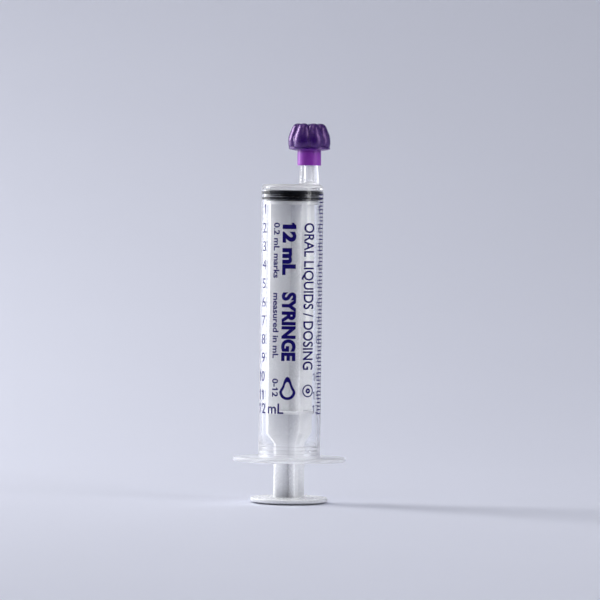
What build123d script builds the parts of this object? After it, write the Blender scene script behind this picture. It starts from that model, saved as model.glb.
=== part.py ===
from build123d import *
import math
import os

# A 12 mL oral syringe that stands on its thumb pad with the tip up, the plunger pressed home and
# the tip cap on.
#
# Lengths are millimetres. The syringe's axis is Z, and Z = 0 is the resting face of the thumb pad.
# The oral tip is set off to +X, the long axis of the finger flange is X, and the print faces -Y.

# ---------------------------------------------------------------- driving dimensions

CAPACITY_ML = 12.0
TICK_STEP_ML = 0.2
TICKS_PER_ML = 5

BORE_RADIUS = 7.8
BARREL_WALL = 0.95
BARREL_RADIUS = BORE_RADIUS + BARREL_WALL
MM_PER_ML = 1000.0 / (math.pi * BORE_RADIUS**2)

PAD_RADIUS = 10.95
PAD_THICKNESS = 1.55
PAD_FOOT_RADIUS = 8.8   # the pad stands on this foot, so its rim is clear of the surface
PAD_FOOT_HEIGHT = 0.4

FLANGE_BOTTOM = 11.75
FLANGE_THICKNESS = 1.3
FLANGE_HALF_LENGTH = 16.0
FLANGE_HALF_DEPTH = 11.5

ZERO_LINE = 88.35       # height of the 0 mL mark, level with the stopper's upper edge
BARREL_TOP = 90.25
TIP_OFFSET = 4.6        # from the syringe's axis to the oral tip's axis, along +X
TIP_LENGTH = 11.6
CAP_TOP = 107.45

SLIDING_CLEARANCE = 0.05
MATCH_TOLERANCE = 0.01  # for finding edges by height or radius
CUT_PAST = 1.0          # how far a cutting tool reaches past the face it opens

# ---------------------------------------------------------------- barrel

BORE_FRONT_EDGE = ZERO_LINE + 0.15
BORE_FRONT_CENTRE = BARREL_TOP - 1.1
SHOULDER_RADIUS = 1.3
FLANGE_RIM_RADIUS = 0.55
FLANGE_ROOT_RADIUS = 0.5
MOUTH_CHAMFER = 0.5

RETAINING_RING_HEIGHTS = (13.95, 15.05, 16.15)
RETAINING_RING_HEIGHT = 0.5
RETAINING_RING_STEP = 0.15

TIP_ROOT_RADIUS = 2.85
TIP_END_RADIUS = 2.15
TIP_BORE_RADIUS = 1.0
TIP_ROOT_FILLET = 0.4
TIP_END_FILLET = 0.3

# ---------------------------------------------------------------- stopper

STOPPER_RADIUS = BORE_RADIUS - SLIDING_CLEARANCE
STOPPER_BOTTOM = ZERO_LINE - 2.7
STOPPER_CONE_RISE = 0.65
STOPPER_EDGE_RADIUS = 0.2
STOPPER_GROOVE_HEIGHT = ZERO_LINE - 1.4
STOPPER_GROOVE_HALF_WIDTH = 0.25
STOPPER_GROOVE_DEPTH = 0.35

SOCKET_MOUTH_RADIUS = 2.5
SOCKET_RADIUS = 3.5
SOCKET_LIP = 0.7
SOCKET_TOP = STOPPER_BOTTOM + 1.9

# ---------------------------------------------------------------- plunger rod

RIB_THICKNESS = 1.2
RIB_TURN = 27.0         # degrees from the X and Y axes, as the rod happens to be turned
RIB_WIDE = 6.9
RIB_NARROW = 4.6
TAPER_BOTTOM = 16.55
TAPER_TOP = 19.95

WEB_HEIGHT = 25.35
WEB_THICKNESS = 0.9
HEAD_DISC_RADIUS = 7.2
HEAD_DISC_BOTTOM = ZERO_LINE - 3.9
HEAD_DISC_TOP = STOPPER_BOTTOM - 0.1
PAD_RIM_RADIUS = 0.35
PAD_FOOT_CHAMFER = 0.1
RIB_ROOT_FILLET = 0.5
BUTTON_CHAMFER = 0.4
JOIN_OVERLAP = 0.1      # how far one piece of a moulding reaches into the next

# ---------------------------------------------------------------- tip cap

CAP_COLLAR_RADIUS = 3.35
CAP_COLLAR_BOTTOM = 95.6
CAP_UNDERSIDE = 99.75
CAP_SOCKET_GAP = 0.4    # above the end of the oral tip
CAP_RIM_RADIUS = 5.85
CAP_RIM_THICKNESS = 1.1
CAP_RIM_SLOPE = 0.3     # how far the underside rises on its way out from the collar
CAP_RIM_EDGE = 0.2

CAP_LOBES = 7
CAP_TURN = -4.5         # degrees, of the groove that is nearest the front
LOBE_OFFSET = 3.2       # from the cap's axis to the axis of each lobe
LOBE_RADIUS = 2.88
LOBE_WIDEST = 102.4
LOBE_BOTTOM = CAP_UNDERSIDE + 0.6
CROWN_RADIUS = 5.45     # of the dome between the lobes
CROWN_TOP = CAP_TOP - 0.15
# How square each dome's shoulder is: 0.71 is a quarter of an oval.
LOBE_FULLNESS = 0.67
CROWN_FULLNESS = 0.67
BOTTOM_TAPER = 0.87     # a dome's radius at its bottom, as a share of its widest
BOTTOM_LEAN = 0.5       # how far its wall leans in there, for each millimetre down

# ---------------------------------------------------------------- graduation lines

INK_THICKNESS = 0.04
TICK_HEIGHT = 0.28
# Angles round the barrel, in degrees from the middle of the print (-Y) towards +X.
TICK_END_ANGLE = 83.0
SHORT_TICK_START = 61.0
LONG_TICK_START = 57.0


def revolved(points):
    """A solid of revolution about Z from an outline of (radius, height) points."""
    with BuildPart() as part:
        with BuildSketch(Plane.XZ):
            with BuildLine():
                Polyline(*points, close=True)
            make_face()
        revolve(axis=Axis.Z)
    return part.part


def cone_between(bottom_radius, top_radius, bottom, top):
    """A cone or cylinder on Z between two heights."""
    if bottom_radius == top_radius:
        return Pos(0, 0, bottom) * Cylinder(
            bottom_radius, top - bottom, align=(Align.CENTER, Align.CENTER, Align.MIN)
        )
    return Pos(0, 0, bottom) * Cone(
        bottom_radius, top_radius, top - bottom, align=(Align.CENTER, Align.CENTER, Align.MIN)
    )


def edges_at(shape, height):
    """The edges that lie wholly at one height."""
    return shape.edges().filter_by_position(Axis.Z, height - MATCH_TOLERANCE, height + MATCH_TOLERANCE)


def finger_flange():
    """The oval flange at the open end, with a rounded rim."""
    outline = Ellipse(FLANGE_HALF_LENGTH, FLANGE_HALF_DEPTH)
    flange = Pos(0, 0, FLANGE_BOTTOM) * extrude(outline, FLANGE_THICKNESS)
    rims = edges_at(flange, FLANGE_BOTTOM) + edges_at(flange, FLANGE_BOTTOM + FLANGE_THICKNESS)
    return fillet(rims, FLANGE_RIM_RADIUS)


def retaining_ring(height):
    """A low rounded ring inside the open end that keeps the stopper in."""
    half = RETAINING_RING_HEIGHT / 2
    inner = BORE_RADIUS - RETAINING_RING_STEP
    return [
        (BORE_RADIUS, height - half),
        (inner, height - half / 3),
        (inner, height + half / 3),
        (BORE_RADIUS, height + half),
    ]


def bore_space():
    """The hollow inside the barrel: chamfered mouth, retaining rings and low conical front."""
    outline = [(0, FLANGE_BOTTOM), (BORE_RADIUS + MOUTH_CHAMFER, FLANGE_BOTTOM)]
    outline.append((BORE_RADIUS, FLANGE_BOTTOM + MOUTH_CHAMFER))
    for height in RETAINING_RING_HEIGHTS:
        outline.extend(retaining_ring(height))
    outline.append((BORE_RADIUS, BORE_FRONT_EDGE))
    outline.append((0, BORE_FRONT_CENTRE))
    return revolved(outline)


def barrel():
    """The clear moulding: tube, closed end, off-centre oral tip and finger flange."""
    tube = cone_between(BARREL_RADIUS, BARREL_RADIUS, FLANGE_BOTTOM, BARREL_TOP)
    tube = fillet(edges_at(tube, BARREL_TOP), SHOULDER_RADIUS)

    tip = cone_between(TIP_ROOT_RADIUS, TIP_END_RADIUS, BARREL_TOP, BARREL_TOP + TIP_LENGTH)
    tip = fillet(edges_at(tip, BARREL_TOP + TIP_LENGTH), TIP_END_FILLET)
    tip = Pos(TIP_OFFSET, 0, 0) * tip

    body = tube + finger_flange() + tip
    tip_root = (
        edges_at(body, BARREL_TOP)
        .filter_by(GeomType.CIRCLE)
        .filter_by(lambda edge: abs(edge.radius - TIP_ROOT_RADIUS) < MATCH_TOLERANCE)
    )
    body = fillet(tip_root, TIP_ROOT_FILLET)
    flange_root = (
        edges_at(body, FLANGE_BOTTOM + FLANGE_THICKNESS)
        .filter_by(GeomType.CIRCLE)
        .filter_by(lambda edge: abs(edge.radius - BARREL_RADIUS) < MATCH_TOLERANCE)
    )
    body = fillet(flange_root, FLANGE_ROOT_RADIUS)

    tip_bore = cone_between(
        TIP_BORE_RADIUS, TIP_BORE_RADIUS, BORE_FRONT_EDGE, BARREL_TOP + TIP_LENGTH + CUT_PAST
    )
    return body - bore_space() - Pos(TIP_OFFSET, 0, 0) * tip_bore


def stopper():
    """The rubber seal: two rings, a groove between them, a low cone and a socket for the rod."""
    groove_low = STOPPER_GROOVE_HEIGHT - STOPPER_GROOVE_HALF_WIDTH
    groove_high = STOPPER_GROOVE_HEIGHT + STOPPER_GROOVE_HALF_WIDTH
    groove_floor = STOPPER_RADIUS - STOPPER_GROOVE_DEPTH
    edge = STOPPER_EDGE_RADIUS
    return revolved(
        [
            (SOCKET_MOUTH_RADIUS, STOPPER_BOTTOM),
            (STOPPER_RADIUS - edge, STOPPER_BOTTOM),
            (STOPPER_RADIUS, STOPPER_BOTTOM + edge),
            (STOPPER_RADIUS, groove_low - edge / 2),
            (groove_floor, groove_low + edge / 2),
            (groove_floor, groove_high - edge / 2),
            (STOPPER_RADIUS, groove_high + edge / 2),
            (STOPPER_RADIUS, ZERO_LINE - edge),
            (STOPPER_RADIUS - edge, ZERO_LINE),
            (0, ZERO_LINE + STOPPER_CONE_RISE),
            (0, SOCKET_TOP),
            (SOCKET_RADIUS, SOCKET_TOP),
            (SOCKET_RADIUS, STOPPER_BOTTOM + SOCKET_LIP),
            (SOCKET_MOUTH_RADIUS, STOPPER_BOTTOM + SOCKET_LIP),
        ]
    )


def rib_pair():
    """Two ribs in one plane: narrow at the bottom, wide inside the barrel."""
    half_outline = [
        (RIB_NARROW, PAD_THICKNESS / 2),
        (RIB_NARROW, TAPER_BOTTOM),
        (RIB_WIDE, TAPER_TOP),
        (RIB_WIDE, HEAD_DISC_BOTTOM + JOIN_OVERLAP),
    ]
    mirrored = [(-x, z) for x, z in reversed(half_outline)]
    with BuildPart() as part:
        with BuildSketch(Plane.XZ):
            with BuildLine():
                Polyline(*half_outline, *mirrored, close=True)
            make_face()
        extrude(amount=RIB_THICKNESS / 2, both=True)
    return part.part


def thumb_pad():
    """The round pad under the thumb, with the low foot that it stands on."""
    pad = cone_between(PAD_RADIUS, PAD_RADIUS, PAD_FOOT_HEIGHT, PAD_THICKNESS)
    rims = edges_at(pad, PAD_FOOT_HEIGHT) + edges_at(pad, PAD_THICKNESS)
    pad = fillet(rims, PAD_RIM_RADIUS)
    foot = cone_between(PAD_FOOT_RADIUS, PAD_FOOT_RADIUS, 0, PAD_FOOT_HEIGHT + JOIN_OVERLAP)
    pad += chamfer(edges_at(foot, 0), PAD_FOOT_CHAMFER)
    return pad


def plunger_rod():
    """The rod: thumb pad, crossed ribs, round web, head disc, neck and button."""
    neck_radius = SOCKET_MOUTH_RADIUS - SLIDING_CLEARANCE
    button_radius = SOCKET_RADIUS - SLIDING_CLEARANCE
    button_bottom = STOPPER_BOTTOM + SOCKET_LIP + SLIDING_CLEARANCE
    button_top = SOCKET_TOP - SLIDING_CLEARANCE

    ribs = rib_pair() + Rot(0, 0, 90) * rib_pair()
    rod = thumb_pad() + ribs
    rib_roots = edges_at(rod, PAD_THICKNESS).filter_by(GeomType.LINE)
    rod = fillet(rib_roots, RIB_ROOT_FILLET)

    rod += cone_between(RIB_WIDE, RIB_WIDE, WEB_HEIGHT, WEB_HEIGHT + WEB_THICKNESS)
    rod += cone_between(HEAD_DISC_RADIUS, HEAD_DISC_RADIUS, HEAD_DISC_BOTTOM, HEAD_DISC_TOP)
    rod += cone_between(
        neck_radius, neck_radius, HEAD_DISC_TOP - JOIN_OVERLAP, button_bottom + JOIN_OVERLAP
    )
    button = cone_between(button_radius, button_radius, button_bottom, button_top)
    rod += chamfer(edges_at(button, button_top), BUTTON_CHAMFER)
    return Rot(0, 0, RIB_TURN) * rod


def dome(radius, widest, top, bottom, fullness):
    """A closed dome on Z. Fullness is how square its shoulder is, from 0.71 for a round one."""
    shoulder = (radius * fullness, widest + (top - widest) * fullness)
    bottom_radius = radius * BOTTOM_TAPER
    with BuildPart() as part:
        with BuildSketch(Plane.XZ):
            with BuildLine():
                Spline((0, top), shoulder, (radius, widest), tangents=((1, 0), (0, -1)))
                Spline((radius, widest), (bottom_radius, bottom), tangents=((0, -1), (-BOTTOM_LEAN, -1)))
                Polyline((bottom_radius, bottom), (0, bottom), (0, top))
            make_face()
        revolve(axis=Axis.Z)
    return part.part


def cap_crown():
    """The upper part of the cap: round lobes set in a ring about a lower dome."""
    crown = dome(CROWN_RADIUS, LOBE_WIDEST, CROWN_TOP, LOBE_BOTTOM, CROWN_FULLNESS)
    lobe = Pos(LOBE_OFFSET, 0, 0) * dome(
        LOBE_RADIUS, LOBE_WIDEST, CAP_TOP, LOBE_BOTTOM, LOBE_FULLNESS
    )
    lobe_angle = 360 / CAP_LOBES
    for index in range(CAP_LOBES):
        crown += Rot(0, 0, lobe_angle * (index + 0.5) - 90 + CAP_TURN) * lobe
    return crown


def cap_rim():
    """The thin round rim under the lobes, and the underside that runs in to the collar."""
    rim_top = CAP_UNDERSIDE + CAP_RIM_THICKNESS
    return revolved(
        [
            (0, CAP_UNDERSIDE),
            (CAP_COLLAR_RADIUS + 2 * CAP_RIM_EDGE, CAP_UNDERSIDE),
            (CAP_RIM_RADIUS - 2 * CAP_RIM_EDGE, CAP_UNDERSIDE + CAP_RIM_SLOPE),
            (CAP_RIM_RADIUS, CAP_UNDERSIDE + CAP_RIM_SLOPE + CAP_RIM_EDGE),
            (CAP_RIM_RADIUS, rim_top - CAP_RIM_EDGE),
            (CAP_RIM_RADIUS - CAP_RIM_EDGE, rim_top),
            (0, rim_top),
        ]
    )


def tip_cap():
    """The push-on cap: lobed crown, rim, collar and tapered socket, moved to the tip's axis."""
    cap = cap_crown() + cap_rim()
    cap += cone_between(
        CAP_COLLAR_RADIUS, CAP_COLLAR_RADIUS, CAP_COLLAR_BOTTOM, CAP_UNDERSIDE + JOIN_OVERLAP
    )

    taper = (TIP_ROOT_RADIUS - TIP_END_RADIUS) / TIP_LENGTH
    socket_top = BARREL_TOP + TIP_LENGTH + CAP_SOCKET_GAP
    mouth_radius = TIP_ROOT_RADIUS - taper * (CAP_COLLAR_BOTTOM - BARREL_TOP) + SLIDING_CLEARANCE
    end_radius = mouth_radius - taper * (socket_top - CAP_COLLAR_BOTTOM)
    cap -= cone_between(mouth_radius, end_radius, CAP_COLLAR_BOTTOM, socket_top)
    return Pos(TIP_OFFSET, 0, 0) * cap


def graduation_line(volume_ml, is_long):
    """One ink line on the outside of the barrel."""
    start = LONG_TICK_START if is_long else SHORT_TICK_START
    height = ZERO_LINE - volume_ml * MM_PER_ML
    with BuildPart() as part:
        with BuildSketch(Plane.XZ):
            with Locations((BARREL_RADIUS + INK_THICKNESS / 2, height)):
                Rectangle(INK_THICKNESS, TICK_HEIGHT)
        revolve(axis=Axis.Z, revolution_arc=TICK_END_ANGLE - start)
    return Rot(0, 0, start - 90) * part.part


def graduation_lines():
    """Every line of the scale, with a longer one at each whole millilitre."""
    count = round(CAPACITY_ML / TICK_STEP_ML)
    lines = []
    for index in range(1, count + 1):
        lines.append(graduation_line(index * TICK_STEP_ML, index % TICKS_PER_ML == 0))
    return Compound(children=lines)


def main():
    os.makedirs("parts", exist_ok=True)
    export_step(barrel(), "parts/barrel.step")
    export_step(stopper(), "parts/stopper.step")
    export_step(plunger_rod(), "parts/plunger_rod.step")
    export_step(tip_cap(), "parts/tip_cap.step")
    export_step(graduation_lines(), "parts/graduation_lines.step")


main()
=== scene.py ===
import math

import bmesh
import bpy
from mathutils import Matrix, Vector


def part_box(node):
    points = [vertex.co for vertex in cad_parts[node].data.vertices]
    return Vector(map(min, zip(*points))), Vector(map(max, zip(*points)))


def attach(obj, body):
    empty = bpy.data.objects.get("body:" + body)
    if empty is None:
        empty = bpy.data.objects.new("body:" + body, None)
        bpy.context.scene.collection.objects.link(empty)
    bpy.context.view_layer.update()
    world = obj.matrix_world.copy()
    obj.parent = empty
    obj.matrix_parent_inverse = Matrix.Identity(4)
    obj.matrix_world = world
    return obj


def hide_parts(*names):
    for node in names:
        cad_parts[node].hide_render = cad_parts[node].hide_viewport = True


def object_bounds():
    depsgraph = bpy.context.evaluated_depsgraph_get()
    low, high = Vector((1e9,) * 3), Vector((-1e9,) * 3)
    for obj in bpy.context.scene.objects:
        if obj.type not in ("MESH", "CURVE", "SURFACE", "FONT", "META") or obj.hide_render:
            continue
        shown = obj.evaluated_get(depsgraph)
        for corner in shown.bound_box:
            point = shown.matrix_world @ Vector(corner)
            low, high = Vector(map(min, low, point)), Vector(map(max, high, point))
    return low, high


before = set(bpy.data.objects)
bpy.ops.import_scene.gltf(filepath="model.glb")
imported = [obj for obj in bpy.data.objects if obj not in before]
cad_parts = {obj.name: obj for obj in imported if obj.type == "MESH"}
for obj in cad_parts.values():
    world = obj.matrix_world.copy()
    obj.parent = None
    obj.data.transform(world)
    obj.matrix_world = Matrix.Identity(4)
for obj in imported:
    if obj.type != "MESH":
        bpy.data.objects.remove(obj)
cad_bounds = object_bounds()

# A clear oral syringe standing on its thumb pad. Lengths are metres, in the row's frame: Z is the
# syringe's axis, the print faces -Y and the oral tip is set off to +X. Angles round the barrel are
# degrees from -Y towards +X.

MM = 0.001

# ---------------------------------------------------------------- sizes taken from the frame

barrel_low, barrel_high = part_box("barrel")
scale_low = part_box("graduation_lines")[0]
cap_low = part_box("tip_cap")[0]
whole_low, whole_high = cad_bounds

TICK_HEIGHT = 0.28 * MM
CAPACITY_ML = 12
BORE_RADIUS = 7.8 * MM
BARREL_RADIUS = 8.75 * MM
ML_STEP = 1e-6 / (math.pi * BORE_RADIUS**2)
LAST_LINE = scale_low.z + TICK_HEIGHT / 2
ZERO_LINE = LAST_LINE + CAPACITY_ML * ML_STEP

FLANGE_BOTTOM = barrel_low.z
FLANGE_TOP = FLANGE_BOTTOM + 1.3 * MM
FLANGE_HALF_LENGTH = 16.0 * MM
FLANGE_HALF_DEPTH = 11.5 * MM
FLANGE_RIM_RADIUS = 0.55 * MM
FLANGE_ROOT_RADIUS = 0.5 * MM
MOUTH_CHAMFER = 0.5 * MM
RETAINING_RING_RISES = (2.2 * MM, 3.3 * MM, 4.4 * MM)
RETAINING_RING_HEIGHT = 0.5 * MM
RETAINING_RING_STEP = 0.15 * MM
TIP_TOP = barrel_high.z
BARREL_TOP = TIP_TOP - 11.6 * MM
SHOULDER_RADIUS = 1.3 * MM
BORE_FRONT_EDGE = ZERO_LINE + 0.15 * MM
BORE_FRONT_CENTRE = BARREL_TOP - 1.1 * MM
TIP_OFFSET = 4.6 * MM
TIP_ROOT_RADIUS = 2.85 * MM
TIP_END_RADIUS = 2.15 * MM
TIP_BORE_RADIUS = 1.0 * MM
TIP_ROOT_FILLET = 0.4 * MM
TIP_END_FILLET = 0.3 * MM

STOPPER_SWELL = 0.09 * MM
COLLAR_HEIGHT = 4.15 * MM

# ---------------------------------------------------------------- camera

CAMERA_DISTANCE = 1.0755
CAMERA_SIDE = 2.5 * MM
EYE_HEIGHT = whole_high.z - 23.1 * MM
LOOK_DOWN = 1.43
CAMERA_ROLL = 0.73
LENS = 228.0
SENSOR = 36.0
CLIP_NEAR = 0.01
CLIP_FAR = 20

# ---------------------------------------------------------------- print

INK_GAP = 0.01 * MM
INK_THICKNESS = 0.03 * MM
CUT_WIDTH = 0.35 * MM
MERGE_DISTANCE = 0.001 * MM
FONT_CAP_HEIGHT = 0.682     # of the built-in font, at size 1
FONT_STEM = 0.098
FLAG_REACH = 0.26           # of a figure 1, as shares of its height
FLAG_DROP = 0.18
CURVE_POINTS = 5            # to each span of a letter's outline
RING_STEPS = 40
DROP_STEPS = 36
DROP_POINT_REACH = 0.85     # how far the point runs past the round part, as a share of its radius
DROP_POINT_SHARPNESS = 6
DROP_NARROWING = 0.35

MIDDLE_LINE_ANGLE = -15.5
SIDE_LINE_ANGLE = 24
SMALL_LINE_ANGLE = -34.5
RING_SIGN_ANGLE = 35
TOP_OF_LINES_ML = 1.72      # the volume whose mark is level with the upper end of the print
TITLE_START_ML = 5.45
SMALL_LINES = (("0.2 mL marks", TOP_OF_LINES_ML), ("measured in mL", 5.5), ("0-12", 10.1))
DROP_SIGN_ML = 10.8
DROP_SIGN_X = -0.75 * MM
RING_SIGN_ML = 10.75
LAST_NUMBER_RISE = 1.4 * MM


def add_object(name, data):
    """A new object in the scene."""
    thing = bpy.data.objects.new(name, data)
    bpy.context.scene.collection.objects.link(thing)
    return thing


def add_camera():
    """A long lens, level with the upper part of the barrel and tilted a little down."""
    data = bpy.data.cameras.new("camera")
    data.lens = LENS
    data.sensor_width = SENSOR
    data.clip_start = CLIP_NEAR
    data.clip_end = CLIP_FAR
    camera = add_object("camera", data)
    camera.location = (CAMERA_SIDE, -CAMERA_DISTANCE, EYE_HEIGHT)
    tilt = Matrix.Rotation(math.radians(90 - LOOK_DOWN), 4, "X")
    roll = Matrix.Rotation(math.radians(CAMERA_ROLL), 4, "Z")
    camera.rotation_euler = (tilt @ roll).to_euler()
    bpy.context.scene.camera = camera


# ---------------------------------------------------------------- node helpers


def new_material(name):
    """A material with one Principled shader, and the parts of its tree."""
    material = bpy.data.materials.new(name)
    material.use_nodes = True
    tree = material.node_tree
    shader = tree.nodes["Principled BSDF"]
    return material, tree, shader


def noise(tree, scale, detail, stretch=(1, 1, 1)):
    """Noise in the piece's own coordinates, which are metres. Scale is patterns per metre."""
    coordinates = tree.nodes.new("ShaderNodeTexCoord")
    mapping = tree.nodes.new("ShaderNodeMapping")
    mapping.inputs["Scale"].default_value = stretch
    texture = tree.nodes.new("ShaderNodeTexNoise")
    texture.inputs["Scale"].default_value = scale
    texture.inputs["Detail"].default_value = detail
    tree.links.new(coordinates.outputs["Object"], mapping.inputs["Vector"])
    tree.links.new(mapping.outputs["Vector"], texture.inputs["Vector"])
    return texture.outputs["Fac"]


def spread(tree, value, low, high, from_low=0.3, from_high=0.7):
    """The value mapped from the usual range of noise to low..high."""
    node = tree.nodes.new("ShaderNodeMapRange")
    node.inputs["From Min"].default_value = from_low
    node.inputs["From Max"].default_value = from_high
    node.inputs["To Min"].default_value = low
    node.inputs["To Max"].default_value = high
    tree.links.new(value, node.inputs["Value"])
    return node.outputs["Result"]


def colour_between(tree, value, first, second):
    """A colour that goes from first to second as the value goes from 0 to 1."""
    node = tree.nodes.new("ShaderNodeMix")
    node.data_type = "RGBA"
    node.inputs[6].default_value = (*first, 1)
    node.inputs[7].default_value = (*second, 1)
    tree.links.new(value, node.inputs[0])
    return node.outputs[2]


def by_height(tree, stops):
    """A value that runs in straight lines between (height, value) stops, lowest first."""
    low = stops[0][0]
    high = stops[-1][0]
    ramp = tree.nodes.new("ShaderNodeValToRGB")
    marks = ramp.color_ramp.elements
    marks.remove(marks[1])
    for place, (height, value) in enumerate(stops):
        mark = marks[0] if place == 0 else marks.new((height - low) / (high - low))
        mark.position = (height - low) / (high - low)
        mark.color = (value, value, value, 1)
    tree.links.new(height_share(tree, low, high), ramp.inputs["Fac"])
    return ramp.outputs["Color"]


def larger(tree, first, second):
    """The larger of two values."""
    node = tree.nodes.new("ShaderNodeMath")
    node.operation = "MAXIMUM"
    tree.links.new(first, node.inputs[0])
    tree.links.new(second, node.inputs[1])
    return node.outputs[0]


def power(tree, value, exponent):
    """The value raised to an exponent, which keeps 0 and 1 and bends what is between."""
    node = tree.nodes.new("ShaderNodeMath")
    node.operation = "POWER"
    node.inputs[1].default_value = exponent
    tree.links.new(value, node.inputs[0])
    return node.outputs[0]


def bump(tree, value, height, strength):
    """A bump of this height in metres."""
    node = tree.nodes.new("ShaderNodeBump")
    node.inputs["Distance"].default_value = height
    node.inputs["Strength"].default_value = strength
    tree.links.new(value, node.inputs["Height"])
    return node.outputs["Normal"]


def height_share(tree, low, high):
    """0 below the height low, 1 above the height high, in the piece's own coordinates."""
    coordinates = tree.nodes.new("ShaderNodeTexCoord")
    split = tree.nodes.new("ShaderNodeSeparateXYZ")
    tree.links.new(coordinates.outputs["Object"], split.inputs["Vector"])
    return spread(tree, split.outputs["Z"], 0, 1, low, high)


# ---------------------------------------------------------------- materials

PLASTIC_IOR = 1.49
CLEAR_TINT = (0.965, 0.97, 0.985, 1)
MILK_TINT = (0.95, 0.955, 0.98, 1)
MILK_LIT_THROUGH = 0.4      # the share of the milk's light that comes from behind it

# Each finish runs between two colours, by its mottle. The cap's two are its collar and its crown.
ROD_COLOURS = ((0.93, 0.935, 0.955), (0.96, 0.965, 0.98))
RUBBER_COLOURS = ((0.001, 0.0015, 0.004), (0.003, 0.004, 0.008))
CAP_COLOURS = ((0.33, 0.035, 0.5), (0.035, 0.003, 0.14))
INK_COLOURS = ((0.004, 0.001, 0.12), (0.008, 0.002, 0.17))
PAPER_COLOURS = ((0.75, 0.769, 0.87), (0.76, 0.779, 0.88))
CAP_GLOSS_TINT = (0.85, 0.52, 1.0, 1)
COLLAR_BLEND_BELOW = 0.8 * MM
COLLAR_BLEND_ABOVE = 0.6 * MM

# How milky the clear moulding is in its thicker parts, from 0 to 1.
FLANGE_MILK = 0.48
FOOT_MILK = 0.22
SHOULDER_MILK = 0.65
TIP_MILK = 0.22
FLANGE_BLEND = 0.6 * MM     # the height over which the flange's look gives way to the wall's
FOOT_MILK_TOP = 7 * MM      # above the flange, where the foot's milk has gone
TIP_MILK_BLEND = 1 * MM
TIP_FROST = 0.17            # the roughness of the tip's surface
TIP_FROST_BLEND = 0.5 * MM

# The share of a lamp's light that each surface of the moulding lets through.
FLANGE_LETS_THROUGH = 0.68
WALL_LETS_THROUGH = 1.0

# Painted shade in the rod's corners between its ribs, below the flange: over what distance, and to what
# share.
PAINTED_SHADE_REACH = 5 * MM
PAINTED_CORNER_SHADE = 0.67


def clear_plastic():
    """The barrel: clear polypropylene, milky where it is thick, that lets lamps shine in."""
    material, tree, shader = new_material("clear_plastic")
    output = tree.nodes["Material Output"]
    shader.inputs["Base Color"].default_value = CLEAR_TINT
    shader.inputs["IOR"].default_value = PLASTIC_IOR
    shader.inputs["Transmission Weight"].default_value = 1.0
    fine = noise(tree, scale=900, detail=4)
    polish = spread(tree, fine, low=0.03, high=0.09)
    frost = by_height(
        tree,
        [
            (BARREL_TOP, 0.0),
            (BARREL_TOP + TIP_FROST_BLEND, TIP_FROST),
            (TIP_TOP, TIP_FROST),
        ],
    )
    tree.links.new(larger(tree, polish, frost), shader.inputs["Roughness"])
    ripple = noise(tree, scale=160, detail=1, stretch=(1, 1, 0.25))
    normal = bump(tree, ripple, height=0.03 * MM, strength=0.25)
    tree.links.new(normal, shader.inputs["Normal"])

    milk = tree.nodes.new("ShaderNodeBsdfPrincipled")
    milk.inputs["Base Color"].default_value = MILK_TINT
    milk.inputs["Roughness"].default_value = 0.2
    tree.links.new(normal, milk.inputs["Normal"])
    glow = tree.nodes.new("ShaderNodeBsdfTranslucent")
    glow.inputs["Color"].default_value = MILK_TINT
    lit_through = tree.nodes.new("ShaderNodeMixShader")
    lit_through.inputs["Fac"].default_value = MILK_LIT_THROUGH
    tree.links.new(milk.outputs["BSDF"], lit_through.inputs[1])
    tree.links.new(glow.outputs["BSDF"], lit_through.inputs[2])

    edge = tree.nodes.new("ShaderNodeLayerWeight")
    edge.inputs["Blend"].default_value = 0.5
    facing = spread(tree, edge.outputs["Facing"], low=0, high=1, from_low=0.3, from_high=0.95)
    towards_edge = power(tree, facing, exponent=2.5)
    at_edge = spread(tree, towards_edge, low=0.002, high=0.6, from_low=0, from_high=1)
    thick_parts = by_height(
        tree,
        [
            (FLANGE_BOTTOM, FLANGE_MILK),
            (FLANGE_TOP, FLANGE_MILK),
            (FLANGE_TOP + FLANGE_BLEND, FOOT_MILK),
            (FLANGE_TOP + FOOT_MILK_TOP, 0.0),
            (BARREL_TOP - SHOULDER_RADIUS, 0.0),
            (BARREL_TOP - SHOULDER_RADIUS / 2, SHOULDER_MILK),
            (BARREL_TOP, SHOULDER_MILK),
            (BARREL_TOP + TIP_MILK_BLEND, TIP_MILK),
            (TIP_TOP, TIP_MILK),
        ],
    )
    milky = tree.nodes.new("ShaderNodeMixShader")
    tree.links.new(larger(tree, at_edge, thick_parts), milky.inputs["Fac"])
    tree.links.new(shader.outputs["BSDF"], milky.inputs[1])
    tree.links.new(lit_through.outputs["Shader"], milky.inputs[2])

    path = tree.nodes.new("ShaderNodeLightPath")
    open_to_lamps = tree.nodes.new("ShaderNodeBsdfTransparent")
    let_through = by_height(
        tree,
        [
            (FLANGE_BOTTOM, FLANGE_LETS_THROUGH),
            (FLANGE_TOP, FLANGE_LETS_THROUGH),
            (FLANGE_TOP + FLANGE_BLEND, WALL_LETS_THROUGH),
            (TIP_TOP, WALL_LETS_THROUGH),
        ],
    )
    tree.links.new(let_through, open_to_lamps.inputs["Color"])
    mix = tree.nodes.new("ShaderNodeMixShader")
    tree.links.new(path.outputs["Is Shadow Ray"], mix.inputs["Fac"])
    tree.links.new(milky.outputs["Shader"], mix.inputs[1])
    tree.links.new(open_to_lamps.outputs["BSDF"], mix.inputs[2])
    tree.links.new(mix.outputs["Shader"], output.inputs["Surface"])
    return material


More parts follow.
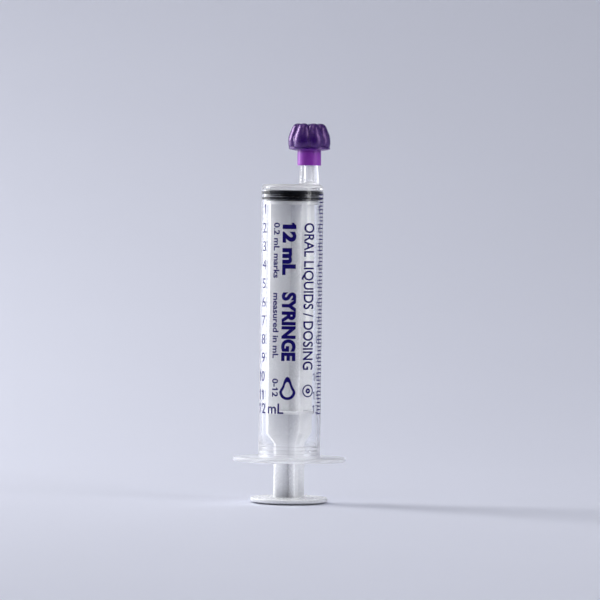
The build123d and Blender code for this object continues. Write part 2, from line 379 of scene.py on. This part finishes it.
def frosted_plastic():
    """The plunger rod: whitish translucent polypropylene, with painted shade in its corners below the
    flange.
    """
    material, tree, shader = new_material("frosted_plastic")
    mottle = noise(tree, scale=350, detail=3)
    colour = colour_between(tree, spread(tree, mottle, low=0, high=1), *ROD_COLOURS)
    # Painted shade: ambient occlusion darkens the rod's colour where its ribs meet, below the flange
    # only.
    corner = tree.nodes.new("ShaderNodeAmbientOcclusion")
    corner.inputs["Distance"].default_value = PAINTED_SHADE_REACH
    painted_shade = spread(tree, corner.outputs["AO"], low=PAINTED_CORNER_SHADE, high=1, from_low=0, from_high=1)
    painted_shade = larger(tree, painted_shade, height_share(tree, FLANGE_BOTTOM, FLANGE_TOP))
    painted_shade_colour = tree.nodes.new("ShaderNodeVectorMath")
    painted_shade_colour.operation = "SCALE"
    tree.links.new(colour, painted_shade_colour.inputs[0])
    tree.links.new(painted_shade, painted_shade_colour.inputs["Scale"])
    tree.links.new(painted_shade_colour.outputs["Vector"], shader.inputs["Base Color"])
    shader.inputs["Subsurface Weight"].default_value = 1.0
    shader.inputs["Subsurface Radius"].default_value = (1.0, 1.0, 1.0)
    shader.inputs["Subsurface Scale"].default_value = 0.9 * MM
    shader.inputs["IOR"].default_value = PLASTIC_IOR
    fine = noise(tree, scale=1400, detail=4)
    tree.links.new(spread(tree, fine, low=0.2, high=0.32), shader.inputs["Roughness"])
    tree.links.new(bump(tree, fine, height=0.01 * MM, strength=0.3), shader.inputs["Normal"])
    return material


def black_rubber():
    """The stopper: black rubber with a faint bloom."""
    material, tree, shader = new_material("black_rubber")
    mottle = noise(tree, scale=600, detail=4)
    colour = colour_between(tree, spread(tree, mottle, low=0, high=1), *RUBBER_COLOURS)
    tree.links.new(colour, shader.inputs["Base Color"])
    fine = noise(tree, scale=2500, detail=4)
    tree.links.new(spread(tree, fine, low=0.24, high=0.36), shader.inputs["Roughness"])
    shader.inputs["Specular IOR Level"].default_value = 0.2
    tree.links.new(bump(tree, fine, height=0.01 * MM, strength=0.4), shader.inputs["Normal"])
    return material


def purple_plastic():
    """The cap: glossy dark purple, thinner and more magenta in the collar."""
    material, tree, shader = new_material("purple_plastic")
    collar_top = cap_low.z + COLLAR_HEIGHT
    height = height_share(tree, collar_top - COLLAR_BLEND_BELOW, collar_top + COLLAR_BLEND_ABOVE)
    colour = colour_between(tree, height, *CAP_COLOURS)
    tree.links.new(colour, shader.inputs["Base Color"])
    shader.inputs["Subsurface Weight"].default_value = 0.35
    shader.inputs["Subsurface Radius"].default_value = (0.6, 0.2, 1.0)
    shader.inputs["Subsurface Scale"].default_value = 1.0 * MM
    shader.inputs["IOR"].default_value = 1.6
    shader.inputs["Specular IOR Level"].default_value = 0.92
    shader.inputs["Specular Tint"].default_value = CAP_GLOSS_TINT
    fine = noise(tree, scale=1100, detail=3)
    roughness = spread(tree, height, low=0.4, high=0.28, from_low=0, from_high=1)
    uneven = spread(tree, fine, low=-0.04, high=0.04)
    total = tree.nodes.new("ShaderNodeMath")
    tree.links.new(roughness, total.inputs[0])
    tree.links.new(uneven, total.inputs[1])
    tree.links.new(total.outputs[0], shader.inputs["Roughness"])
    tree.links.new(bump(tree, fine, height=0.008 * MM, strength=0.25), shader.inputs["Normal"])
    return material


def scale_ink():
    """Dark violet printing ink, a little uneven."""
    material, tree, shader = new_material("scale_ink")
    mottle = noise(tree, scale=2200, detail=3)
    colour = colour_between(tree, spread(tree, mottle, low=0, high=1), *INK_COLOURS)
    tree.links.new(colour, shader.inputs["Base Color"])
    tree.links.new(spread(tree, mottle, low=0.4, high=0.6), shader.inputs["Roughness"])
    shader.inputs["Specular IOR Level"].default_value = 0.1
    return material


def backdrop_paper():
    """The pale seamless paper it stands on."""
    material, tree, shader = new_material("backdrop_paper")
    mottle = noise(tree, scale=8, detail=2)
    colour = colour_between(tree, spread(tree, mottle, low=0, high=1), *PAPER_COLOURS)
    tree.links.new(colour, shader.inputs["Base Color"])
    shader.inputs["Roughness"].default_value = 0.75
    shader.inputs["Specular IOR Level"].default_value = 0.2
    return material


def finish_cad_nodes(materials):
    """Gives each CAD node its material."""
    finish_of = {
        "plunger_rod": "frosted_plastic",
        "stopper": "black_rubber",
        "tip_cap": "purple_plastic",
        "graduation_lines": "scale_ink",
    }
    for node, finish in finish_of.items():
        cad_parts[node].material_slots[0].material = materials[finish]


def squeeze_stopper():
    """Swells the rubber until it is pressed flat on the bore, as it is in use."""
    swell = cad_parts["stopper"].modifiers.new("pressed_on_bore", "DISPLACE")
    swell.mid_level = 0
    swell.strength = STOPPER_SWELL


# ---------------------------------------------------------------- barrel

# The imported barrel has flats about 6 degrees wide, which a clear wall shows as dark lines. This is
# the same moulding in rings of many more points, each joined to the next, from the mouth out round
# the flange, up the wall, over the tip and back down the bore.

ROUND_STEPS = 288
CORNER_STEPS = 8
FRONT_STEPS = 8
WALL_STEPS = 30
SHARP_EDGE = math.radians(25)


def ring(half_length, half_depth, height, offset=0.0):
    """A level ring of points: an oval about an axis that is set off to +X."""
    points = []
    for index in range(ROUND_STEPS):
        turn = 2 * math.pi * index / ROUND_STEPS
        x = offset + half_length * math.cos(turn)
        points.append(Vector((x, half_depth * math.sin(turn), height)))
    return points


def corner_turns():
    """Angles from 0 to 90 degrees, for the rings of a rounded corner."""
    return [math.radians(90 * index / CORNER_STEPS) for index in range(CORNER_STEPS + 1)]


def flange_rings():
    """Out along the flange's underside, round its rim, and in to the wall."""
    reach_x = FLANGE_HALF_LENGTH - FLANGE_RIM_RADIUS
    reach_y = FLANGE_HALF_DEPTH - FLANGE_RIM_RADIUS
    rings = []
    for turn in corner_turns():
        out = FLANGE_RIM_RADIUS * math.sin(turn)
        height = FLANGE_BOTTOM + FLANGE_RIM_RADIUS * (1 - math.cos(turn))
        rings.append(ring(reach_x + out, reach_y + out, height))
    for turn in corner_turns():
        out = FLANGE_RIM_RADIUS * math.cos(turn)
        height = FLANGE_TOP - FLANGE_RIM_RADIUS * (1 - math.sin(turn))
        rings.append(ring(reach_x + out, reach_y + out, height))
    for turn in corner_turns():
        radius = BARREL_RADIUS + FLANGE_ROOT_RADIUS * (1 - math.sin(turn))
        rings.append(ring(radius, radius, FLANGE_TOP + FLANGE_ROOT_RADIUS * (1 - math.cos(turn))))
    return rings


def wall_rings():
    """Up the outside of the tube and over the shoulder."""
    low = FLANGE_TOP + FLANGE_ROOT_RADIUS
    high = BARREL_TOP - SHOULDER_RADIUS
    rings = []
    for index in range(1, WALL_STEPS):
        rings.append(ring(BARREL_RADIUS, BARREL_RADIUS, low + (high - low) * index / WALL_STEPS))
    for turn in corner_turns():
        radius = BARREL_RADIUS - SHOULDER_RADIUS * (1 - math.cos(turn))
        rings.append(ring(radius, radius, high + SHOULDER_RADIUS * math.sin(turn)))
    return rings


def tip_rings():
    """From the flat top up the outside of the oral tip and down its bore to the bore's front."""
    rings = []
    for turn in corner_turns():
        spare = TIP_ROOT_FILLET * (1 - math.sin(turn)) / 2
        height = BARREL_TOP + TIP_ROOT_FILLET * (1 - math.cos(turn))
        radius = TIP_ROOT_RADIUS + spare
        rings.append(ring(radius, radius, height, TIP_OFFSET - spare))
    for turn in corner_turns():
        radius = TIP_END_RADIUS - TIP_END_FILLET * (1 - math.cos(turn))
        height = TIP_TOP - TIP_END_FILLET * (1 - math.sin(turn))
        rings.append(ring(radius, radius, height, TIP_OFFSET))
    rings.append(ring(TIP_BORE_RADIUS, TIP_BORE_RADIUS, TIP_TOP, TIP_OFFSET))
    return rings


def front_rings():
    """The low conical front of the bore, from the tip's bore out to the wall."""
    rings = []
    for index in range(FRONT_STEPS + 1):
        share = index / FRONT_STEPS
        radius = TIP_BORE_RADIUS + (BORE_RADIUS - TIP_BORE_RADIUS) * share
        points = ring(radius, radius, 0, TIP_OFFSET * (1 - share))
        for point in points:
            rise = 1 - math.hypot(point.x, point.y) / BORE_RADIUS
            point.z = BORE_FRONT_EDGE + (BORE_FRONT_CENTRE - BORE_FRONT_EDGE) * rise
        rings.append(points)
    return rings


def bore_rings():
    """Down the bore, over the rounded retaining rings, to the chamfer of the mouth."""
    rings = []
    low = FLANGE_BOTTOM + MOUTH_CHAMFER
    top_ring = FLANGE_BOTTOM + RETAINING_RING_RISES[-1] + RETAINING_RING_HEIGHT
    for index in range(1, WALL_STEPS):
        height = BORE_FRONT_EDGE + (top_ring - BORE_FRONT_EDGE) * index / WALL_STEPS
        rings.append(ring(BORE_RADIUS, BORE_RADIUS, height))
    for rise in reversed(RETAINING_RING_RISES):
        for index in range(CORNER_STEPS + 1):
            share = index / CORNER_STEPS
            radius = BORE_RADIUS - RETAINING_RING_STEP * math.sin(math.pi * share) ** 2
            height = FLANGE_BOTTOM + rise + RETAINING_RING_HEIGHT * (0.5 - share)
            rings.append(ring(radius, radius, height))
    rings.append(ring(BORE_RADIUS, BORE_RADIUS, low))
    rings.append(ring(BORE_RADIUS + MOUTH_CHAMFER, BORE_RADIUS + MOUTH_CHAMFER, FLANGE_BOTTOM))
    return rings


def add_barrel(material):
    """The clear moulding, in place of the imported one."""
    shell = bmesh.new()
    rings = []
    for points in flange_rings() + wall_rings() + tip_rings() + front_rings() + bore_rings():
        rings.append([shell.verts.new(point) for point in points])
    for place, lower in enumerate(rings):
        upper = rings[(place + 1) % len(rings)]
        for index in range(ROUND_STEPS):
            after = (index + 1) % ROUND_STEPS
            face = shell.faces.new((lower[index], lower[after], upper[after], upper[index]))
            face.smooth = True
    bmesh.ops.recalc_face_normals(shell, faces=shell.faces[:])
    for edge in shell.edges:
        edge.smooth = edge.calc_face_angle() < SHARP_EDGE
    mesh = bpy.data.meshes.new("barrel_shell")
    shell.to_mesh(mesh)
    shell.free()
    mesh.materials.append(material)
    barrel = add_object("barrel_shell", mesh)
    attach(barrel, "barrel")
    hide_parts("barrel")


# ---------------------------------------------------------------- lettering


def text_mesh(body, size, weight):
    """The built-in font's flat mesh of one line of text, starting at x = 0 on y = 0."""
    curve = bpy.data.curves.new("lettering", "FONT")
    curve.body = body
    curve.size = size
    curve.offset = weight
    curve.resolution_u = CURVE_POINTS
    holder = add_object("lettering", curve)
    bpy.context.view_layer.update()
    graph = bpy.context.evaluated_depsgraph_get()
    mesh = bpy.data.meshes.new_from_object(holder.evaluated_get(graph))
    bpy.data.objects.remove(holder)
    bpy.data.curves.remove(curve)
    return mesh


def right_edge(body, size):
    """How far a line of text reaches to the right."""
    mesh = text_mesh(body, size, 0)
    reach = max(vertex.co.x for vertex in mesh.vertices)
    bpy.data.meshes.remove(mesh)
    return reach


def add_flag(drawing, start, top, stem):
    """The small flag of a figure 1, which runs down to the left from (start, top)."""
    reach = FLAG_REACH * top
    drop = FLAG_DROP * top
    corners = [
        (start, top),
        (start - reach, top - drop),
        (start - reach, top - drop - stem),
        (start, top - stem),
    ]
    drawing.faces.new([drawing.verts.new((x, y, 0)) for x, y in corners])


def line_of_text(body, cap_height, weight):
    """A flat drawing of one line, with its figures 1 given a flag. Returns the bmesh."""
    size = cap_height / FONT_CAP_HEIGHT
    drawing = bmesh.new()
    mesh = text_mesh(body, size, weight)
    drawing.from_mesh(mesh)
    bpy.data.meshes.remove(mesh)
    stem = FONT_STEM * size
    for place, letter in enumerate(body):
        if letter == "1":
            bar_middle = right_edge(body[: place + 1], size) - stem / 2
            add_flag(drawing, bar_middle, cap_height + weight, stem + weight)
    return drawing


def place_drawing(drawing, angle, height, turned=False, squeeze=1.0, centred=False):
    """Moves a flat drawing to its place on the barrel's unrolled surface.

    Its x becomes the arc length from the front and its y the height. A turned line reads downwards.
    """
    xs = [vertex.co.x for vertex in drawing.verts]
    shift = (min(xs) + max(xs)) / 2 if centred else min(xs)
    start = math.radians(angle) * BARREL_RADIUS
    for vertex in drawing.verts:
        along = (vertex.co.x - shift) * squeeze
        across = vertex.co.y
        if turned:
            vertex.co = Vector((start + across, height - along, 0))
        else:
            vertex.co = Vector((start + along, height + across, 0))


def wrapped_piece(name, drawings, material):
    """One ink piece: the drawings joined, cut into narrow strips, wrapped on the barrel and thickened."""
    joined = bmesh.new()
    for drawing in drawings:
        part = bpy.data.meshes.new("part")
        drawing.to_mesh(part)
        joined.from_mesh(part)
        bpy.data.meshes.remove(part)
        drawing.free()

    left = min(vertex.co.x for vertex in joined.verts)
    right = max(vertex.co.x for vertex in joined.verts)
    cuts = int((right - left) / CUT_WIDTH)
    for index in range(1, cuts + 1):
        bmesh.ops.bisect_plane(
            joined,
            geom=joined.verts[:] + joined.edges[:] + joined.faces[:],
            plane_co=(left + index * CUT_WIDTH, 0, 0),
            plane_no=(1, 0, 0),
        )
    bmesh.ops.remove_doubles(joined, verts=joined.verts[:], dist=MERGE_DISTANCE)

    radius = BARREL_RADIUS + INK_GAP
    for vertex in joined.verts:
        angle = vertex.co.x / BARREL_RADIUS
        vertex.co = Vector((radius * math.sin(angle), -radius * math.cos(angle), vertex.co.y))

    mesh = bpy.data.meshes.new(name)
    joined.to_mesh(mesh)
    joined.free()
    flat = add_object(name, mesh)
    thicken = flat.modifiers.new("thicken", "SOLIDIFY")
    thicken.thickness = INK_THICKNESS
    thicken.offset = 1
    graph = bpy.context.evaluated_depsgraph_get()
    solid = bpy.data.meshes.new_from_object(flat.evaluated_get(graph))
    solid.name = name
    flat.modifiers.clear()
    flat.data = solid
    flat.data.materials.clear()
    flat.data.materials.append(material)
    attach(flat, "barrel")


def fill_between(drawing, first, second):
    """Faces between two closed loops of the same number of points."""
    for index in range(len(first)):
        after = (index + 1) % len(first)
        drawing.faces.new((first[index], second[index], second[after], first[after]))


def ring_drawing(centre_x, centre_y, outer, inner):
    """A flat ring."""
    drawing = bmesh.new()
    circles = []
    for radius in (outer, inner):
        circle = []
        for index in range(RING_STEPS):
            turn = 2 * math.pi * index / RING_STEPS
            place = (centre_x + radius * math.cos(turn), centre_y + radius * math.sin(turn), 0)
            circle.append(drawing.verts.new(place))
        circles.append(circle)
    fill_between(drawing, circles[1], circles[0])
    return drawing


def drop_drawing(centre_x, centre_y, radius, stroke):
    """A flat outline of a drop of liquid: a round bottom that runs up to a point."""
    drawing = bmesh.new()
    loops = []
    for inset in (0, stroke):
        loop = []
        for index in range(DROP_STEPS):
            turn = 2 * math.pi * index / DROP_STEPS
            upward = max(0.0, math.cos(turn))
            reach = (radius - inset) * (1 + DROP_POINT_REACH * upward**DROP_POINT_SHARPNESS)
            narrow = 1 - DROP_NARROWING * upward
            x = centre_x + reach * math.sin(turn) * narrow
            y = centre_y + reach * math.cos(turn)
            loop.append(drawing.verts.new((x, y, 0)))
        loops.append(loop)
    fill_between(drawing, loops[0], loops[1])
    return drawing


def line_height(volume_ml):
    """The height of the mark for this volume."""
    return ZERO_LINE - volume_ml * ML_STEP


def numbers(name, cap_height, units_angle, tens_angle, last_turn, material, weight):
    """The numbers 1 to 12 beside a column of marks, upright and centred on their marks.

    The last number stands above its mark, with its units turned a little towards the front.
    """
    drawings = []
    for volume in range(1, CAPACITY_ML + 1):
        last = volume == CAPACITY_ML
        bottom = line_height(volume) - cap_height / 2 + LAST_NUMBER_RISE * last
        units = line_of_text(str(volume % 10), cap_height, weight)
        place_drawing(units, units_angle + last_turn * last, bottom, centred=True)
        drawings.append(units)
        if volume >= 10:
            tens = line_of_text(str(volume // 10), cap_height, weight)
            place_drawing(tens, tens_angle, bottom, centred=True)
            drawings.append(tens)
    wrapped_piece(name, drawings, material)


def print_line(body, angle, volume_ml, cap_height, weight, squeeze):
    """A line that reads downwards from the mark for this volume."""
    drawing = line_of_text(body, cap_height, weight)
    place_drawing(drawing, angle, line_height(volume_ml), turned=True, squeeze=squeeze)
    return drawing


def print_the_barrel(ink):
    """All the lettering on the barrel. The words and signs are generic."""
    numbers(
        "ink_numbers_left",
        cap_height=2.8 * MM,
        units_angle=-61,
        tens_angle=-74,
        last_turn=4,
        material=ink,
        weight=0.0,
    )
    numbers(
        "ink_numbers_right",
        cap_height=2.3 * MM,
        units_angle=59.5,
        tens_angle=49,
        last_turn=0,
        material=ink,
        weight=-0.07 * MM,
    )

    last_unit = line_of_text("mL", cap_height=2.8 * MM, weight=0.06 * MM)
    place_drawing(last_unit, angle=-44.5, height=line_height(CAPACITY_ML) + 0.1 * MM)
    wrapped_piece("ink_unit", [last_unit], ink)

    volume = print_line(
        "12 mL",
        MIDDLE_LINE_ANGLE,
        TOP_OF_LINES_ML,
        cap_height=3.3 * MM,
        weight=0.28 * MM,
        squeeze=1.2,
    )
    wrapped_piece("ink_volume", [volume], ink)

    title = print_line(
        "SYRINGE",
        MIDDLE_LINE_ANGLE,
        TITLE_START_ML,
        cap_height=3.5 * MM,
        weight=0.26 * MM,
        squeeze=0.95,
    )
    wrapped_piece("ink_title", [title], ink)

    side = print_line(
        "ORAL LIQUIDS / DOSING",
        SIDE_LINE_ANGLE,
        TOP_OF_LINES_ML,
        cap_height=3.2 * MM,
        weight=0.07 * MM,
        squeeze=0.79,
    )
    wrapped_piece("ink_side_line", [side], ink)

    small_lines = []
    for body, volume_ml in SMALL_LINES:
        small = print_line(
            body,
            SMALL_LINE_ANGLE,
            volume_ml,
            cap_height=1.7 * MM,
            weight=0.06 * MM,
            squeeze=1.14,
        )
        small_lines.append(small)
    wrapped_piece("ink_small_lines", small_lines, ink)

    drop = drop_drawing(DROP_SIGN_X, line_height(DROP_SIGN_ML), radius=2.3 * MM, stroke=0.8 * MM)
    wrapped_piece("ink_drop_sign", [drop], ink)
    sign_x = math.radians(RING_SIGN_ANGLE) * BARREL_RADIUS
    sign_y = line_height(RING_SIGN_ML)
    circle = ring_drawing(sign_x, sign_y, outer=1.8 * MM, inner=1.45 * MM)
    dot = ring_drawing(sign_x, sign_y, outer=0.75 * MM, inner=0.2 * MM)
    wrapped_piece("ink_ring_sign", [circle, dot], ink)


# ---------------------------------------------------------------- stage

FLOOR_FRONT = -0.7
FLOOR_BACK = 0.15
FLOOR_HALF_WIDTH = 3.0
WALL_CURVE_RADIUS = 1.2
WALL_CURVE_STEPS = 24
WALL_TOP = 2.6
ROOM_COLOUR = (0.88, 0.90, 1.0, 1)
CLEAR_LAYERS = 24           # how many clear surfaces a ray may pass


def add_backdrop(material):
    """A floor that curves up into a wall far behind, in one smooth sheet."""
    profile = [(FLOOR_FRONT, 0.0), (FLOOR_BACK, 0.0)]
    for index in range(1, WALL_CURVE_STEPS + 1):
        turn = math.radians(90 * index / WALL_CURVE_STEPS)
        y = FLOOR_BACK + WALL_CURVE_RADIUS * math.sin(turn)
        profile.append((y, WALL_CURVE_RADIUS * (1 - math.cos(turn))))
    profile.append((FLOOR_BACK + WALL_CURVE_RADIUS, WALL_TOP))
    sheet = bmesh.new()
    rows = []
    for y, z in profile:
        rows.append([sheet.verts.new((x, y, z)) for x in (-FLOOR_HALF_WIDTH, FLOOR_HALF_WIDTH)])
    for lower, upper in zip(rows, rows[1:]):
        face = sheet.faces.new((lower[0], lower[1], upper[1], upper[0]))
        face.smooth = True
    mesh = bpy.data.meshes.new("backdrop")
    sheet.to_mesh(mesh)
    sheet.free()
    mesh.materials.append(material)
    backdrop = add_object("backdrop", mesh)


def soft_light(name, azimuth, elevation, distance, width, height, watts):
    """A softbox aimed at the middle of the syringe. Azimuth 0 is the camera's side, + is to +X."""
    data = bpy.data.lights.new(name, "AREA")
    data.shape = "RECTANGLE"
    data.size = width
    data.size_y = height
    data.energy = watts
    light = add_object(name, data)
    turn = math.radians(azimuth)
    lift = math.radians(elevation)
    away = Vector((math.sin(turn) * math.cos(lift), -math.cos(turn) * math.cos(lift), math.sin(lift)))
    target = (whole_low + whole_high) / 2
    light.location = target + away * distance
    light.rotation_euler = (-away).to_track_quat("-Z", "Y").to_euler()


def add_world():
    """A light room that is dark near the floor on the side the picture is taken from."""
    world = bpy.data.worlds.new("world")
    bpy.context.scene.world = world
    world.use_nodes = True
    tree = world.node_tree
    background = tree.nodes["Background"]
    background.inputs["Color"].default_value = ROOM_COLOUR
    coordinates = tree.nodes.new("ShaderNodeTexCoord")
    split = tree.nodes.new("ShaderNodeSeparateXYZ")
    tree.links.new(coordinates.outputs["Generated"], split.inputs["Vector"])
    low_part = spread(tree, split.outputs["Y"], low=0.01, high=0.6, from_low=-0.9, from_high=-0.25)
    brightness = spread(tree, split.outputs["Z"], low=0.0, high=0.22, from_low=0.2, from_high=0.6)
    tree.links.new(low_part, brightness.node.inputs["To Min"])
    tree.links.new(brightness, background.inputs["Strength"])


def add_lights():
    """The window on the left, a little behind, a weak strip below it, and fills: right and high."""
    soft_light("window", azimuth=-110, elevation=26, distance=0.9, width=0.4, height=0.6, watts=6.7)
    soft_light("low_side", azimuth=-113, elevation=4, distance=0.7, width=0.5, height=0.25, watts=0.7)
    soft_light("front_high", azimuth=-25, elevation=65, distance=1.0, width=0.5, height=0.5, watts=1.2)
    soft_light("fill", azimuth=66, elevation=14, distance=1.1, width=0.33, height=0.8, watts=2.0)
    soft_light("fill_high", azimuth=55, elevation=38, distance=0.9, width=0.3, height=0.3, watts=0.8)
    soft_light("top", azimuth=-170, elevation=58, distance=1.9, width=1.0, height=1.0, watts=3.2)


# ---------------------------------------------------------------- make it

bpy.context.scene.view_settings.view_transform = "Standard"
bpy.context.scene.cycles.transparent_max_bounces = CLEAR_LAYERS

add_camera()
finishes = {
    "clear_plastic": clear_plastic(),
    "frosted_plastic": frosted_plastic(),
    "black_rubber": black_rubber(),
    "purple_plastic": purple_plastic(),
    "scale_ink": scale_ink(),
}
finish_cad_nodes(finishes)
squeeze_stopper()
add_barrel(finishes["clear_plastic"])
print_the_barrel(finishes["scale_ink"])
add_backdrop(backdrop_paper())
add_world()
add_lights()
